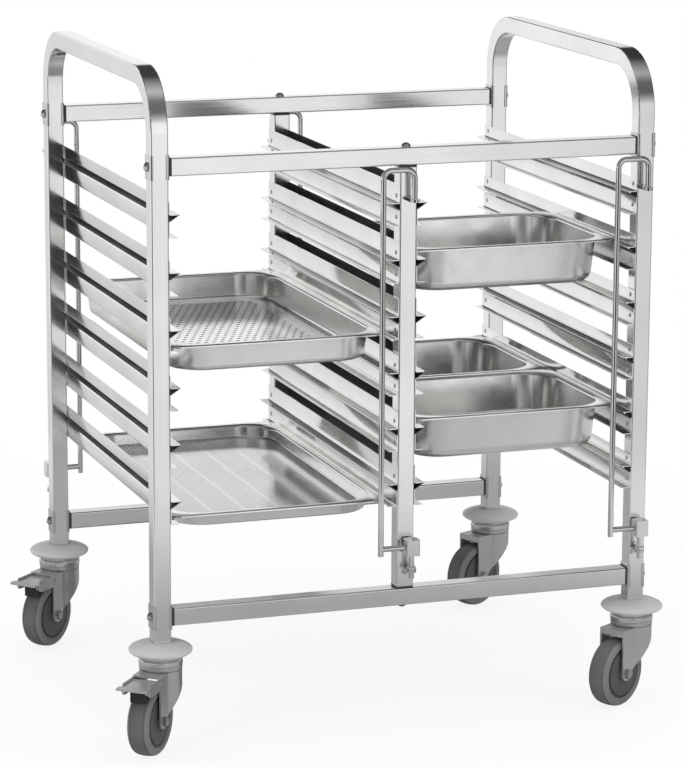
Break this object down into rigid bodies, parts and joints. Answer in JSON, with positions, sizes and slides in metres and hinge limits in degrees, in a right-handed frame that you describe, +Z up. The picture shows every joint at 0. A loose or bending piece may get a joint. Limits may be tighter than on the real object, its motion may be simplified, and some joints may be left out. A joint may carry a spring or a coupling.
{
  "type": "gastronorm transport trolley",
  "caption": "Square-tube trolley with hoop handles, pressed runners for gastronorm pans in side-by-side bays, hinged retaining rods and swivel casters under bumper discs.",
  "frame": {"origin": "on the floor, midway between the legs", "axes": "+Z up, +X to the right across the bays, +Y to the rear; the front faces -Y"},
  "size_m": [0.8507, 0.6984, 0.95],
  "materials": {
    "stainless_tube": "polished",
    "stainless_sheet": "satin",
    "pan_steel": "polished",
    "bright_rod": "polished",
    "bright_fastener": "polished",
    "zinc_plate": "zinc plated",
    "bumper_rubber": "matte",
    "grey_tyre": "matte",
    "hub_plastic": "matte",
    "black_plastic": "matte",
    "dark_plug": "matte"
  },
  "bodies": {
    "frame": {"left_hoop": "stainless_tube", "right_hoop": "stainless_tube", "top_front_rail": "stainless_tube", "top_rear_rail": "stainless_tube", "bottom_front_rail": "stainless_tube", "bottom_rear_rail": "stainless_tube", "front_post": "stainless_tube", "rear_post": "stainless_tube", "tube_end_plugs": "dark_plug", "leg_saddles": "stainless_sheet", "rail_bolts": "bright_fastener", "post_bolts": "bright_fastener", "left_hoop_runners": "stainless_sheet", "post_left_runners": "stainless_sheet", "post_right_runners": "stainless_sheet", "right_hoop_runners": "stainless_sheet", "rod_lugs": "stainless_sheet", "front_left_bumper": "bumper_rubber", "front_left_caster_head": "zinc_plate", "front_right_bumper": "bumper_rubber", "front_right_caster_head": "zinc_plate", "rear_left_bumper": "bumper_rubber", "rear_left_caster_head": "zinc_plate", "rear_right_bumper": "bumper_rubber", "rear_right_caster_head": "zinc_plate", "caster_stems": "bright_fastener", "leg_inserts": "dark_plug"},
    "front_left_swivel": {"front_left_fork": "zinc_plate", "front_left_axle": "bright_fastener"},
    "front_left_wheel": {"front_left_hub": "hub_plastic", "front_left_tyre": "grey_tyre"},
    "front_left_brake": {"front_left_brake_pedal": "bright_fastener", "front_left_brake_shoe": "black_plastic"},
    "front_right_swivel": {"front_right_fork": "zinc_plate", "front_right_axle": "bright_fastener"},
    "front_right_wheel": {"front_right_hub": "hub_plastic", "front_right_tyre": "grey_tyre"},
    "rear_left_swivel": {"rear_left_fork": "zinc_plate", "rear_left_axle": "bright_fastener"},
    "rear_left_wheel": {"rear_left_hub": "hub_plastic", "rear_left_tyre": "grey_tyre"},
    "rear_left_brake": {"rear_left_brake_pedal": "bright_fastener", "rear_left_brake_shoe": "black_plastic"},
    "rear_right_swivel": {"rear_right_fork": "zinc_plate", "rear_right_axle": "bright_fastener"},
    "rear_right_wheel": {"rear_right_hub": "hub_plastic", "rear_right_tyre": "grey_tyre"},
    "front_middle_retainer": {"front_middle_rod": "bright_rod", "front_middle_rod_pivot": "bright_rod"},
    "front_right_retainer": {"front_right_rod": "bright_rod", "front_right_rod_pivot": "bright_rod"},
    "rear_left_retainer": {"rear_left_rod": "bright_rod", "rear_left_rod_pivot": "bright_rod"},
    "rear_middle_retainer": {"rear_middle_rod": "bright_rod", "rear_middle_rod_pivot": "bright_rod"},
    "full_pan": {"full_pan": "pan_steel"},
    "drain_tray": {"drain_tray": "pan_steel"},
    "upper_half_pan": {"upper_half_pan": "pan_steel"},
    "lower_front_half_pan": {"lower_front_half_pan": "pan_steel"},
    "lower_rear_half_pan": {"lower_rear_half_pan": "pan_steel"}
  },
  "joints": [
    {"name": "front_left_swivel_turn", "type": "hinge", "parent": "frame", "child": "front_left_swivel", "pos_m": [-0.3575, -0.28, 0.12], "axis": [0, 0, 1], "continuous": true},
    {"name": "front_left_wheel_spin", "type": "hinge", "parent": "front_left_swivel", "child": "front_left_wheel", "pos_m": [-0.38162, -0.30936, 0.05], "axis": [0.7727, -0.6347, 0], "continuous": true},
    {"name": "front_left_brake_press", "type": "hinge", "parent": "front_left_swivel", "child": "front_left_brake", "pos_m": [-0.38606, -0.31477, 0.106], "axis": [0.7727, -0.6347, 0], "range_deg": [0, 8]},
    {"name": "front_right_swivel_turn", "type": "hinge", "parent": "frame", "child": "front_right_swivel", "pos_m": [0.3575, -0.28, 0.12], "axis": [0, 0, 1], "continuous": true},
    {"name": "front_right_wheel_spin", "type": "hinge", "parent": "front_right_swivel", "child": "front_right_wheel", "pos_m": [0.3251, -0.29985, 0.05], "axis": [0.5225, -0.8526, 0], "continuous": true},
    {"name": "rear_left_swivel_turn", "type": "hinge", "parent": "frame", "child": "rear_left_swivel", "pos_m": [-0.3575, 0.28, 0.12], "axis": [0, 0, 1], "continuous": true},
    {"name": "rear_left_wheel_spin", "type": "hinge", "parent": "rear_left_swivel", "child": "rear_left_wheel", "pos_m": [-0.38552, 0.25433, 0.05], "axis": [0.6756, -0.7373, 0], "continuous": true},
    {"name": "rear_left_brake_press", "type": "hinge", "parent": "rear_left_swivel", "child": "rear_left_brake", "pos_m": [-0.39068, 0.2496, 0.106], "axis": [0.6756, -0.7373, 0], "range_deg": [0, 8]},
    {"name": "rear_right_swivel_turn", "type": "hinge", "parent": "frame", "child": "rear_right_swivel", "pos_m": [0.3575, 0.28, 0.12], "axis": [0, 0, 1], "continuous": true},
    {"name": "rear_right_wheel_spin", "type": "hinge", "parent": "rear_right_swivel", "child": "rear_right_wheel", "pos_m": [0.32335, 0.26334, 0.05], "axis": [0.4384, -0.8988, 0], "continuous": true},
    {"name": "front_middle_retainer_swing", "type": "hinge", "parent": "frame", "child": "front_middle_retainer", "pos_m": [0.004, -0.3065, 0.3], "axis": [0, 0, 1], "range_deg": [0, 180]},
    {"name": "front_right_retainer_swing", "type": "hinge", "parent": "frame", "child": "front_right_retainer", "pos_m": [0.3555, -0.3065, 0.3], "axis": [0, 0, 1], "range_deg": [0, 180]},
    {"name": "rear_left_retainer_swing", "type": "hinge", "parent": "frame", "child": "rear_left_retainer", "pos_m": [-0.3615, 0.3065, 0.3], "axis": [0, 0, 1], "range_deg": [0, 180]},
    {"name": "rear_middle_retainer_swing", "type": "hinge", "parent": "frame", "child": "rear_middle_retainer", "pos_m": [-0.004, 0.3065, 0.3], "axis": [0, 0, 1], "range_deg": [0, 180]},
    {"name": "full_pan_slide", "type": "slide", "parent": "frame", "child": "full_pan", "axis": [0, 1, 0], "range_m": [-0.035, 0.035]},
    {"name": "drain_tray_slide", "type": "slide", "parent": "frame", "child": "drain_tray", "axis": [0, 1, 0], "range_m": [-0.035, 0.035]},
    {"name": "upper_half_pan_slide", "type": "slide", "parent": "frame", "child": "upper_half_pan", "axis": [0, 1, 0], "range_m": [-0.055, 0.275]},
    {"name": "lower_front_half_pan_slide", "type": "slide", "parent": "frame", "child": "lower_front_half_pan", "axis": [0, 1, 0], "range_m": [-0.042, 0]},
    {"name": "lower_rear_half_pan_slide", "type": "slide", "parent": "frame", "child": "lower_rear_half_pan", "axis": [0, 1, 0], "range_m": [0, 0.026]}
  ]
}
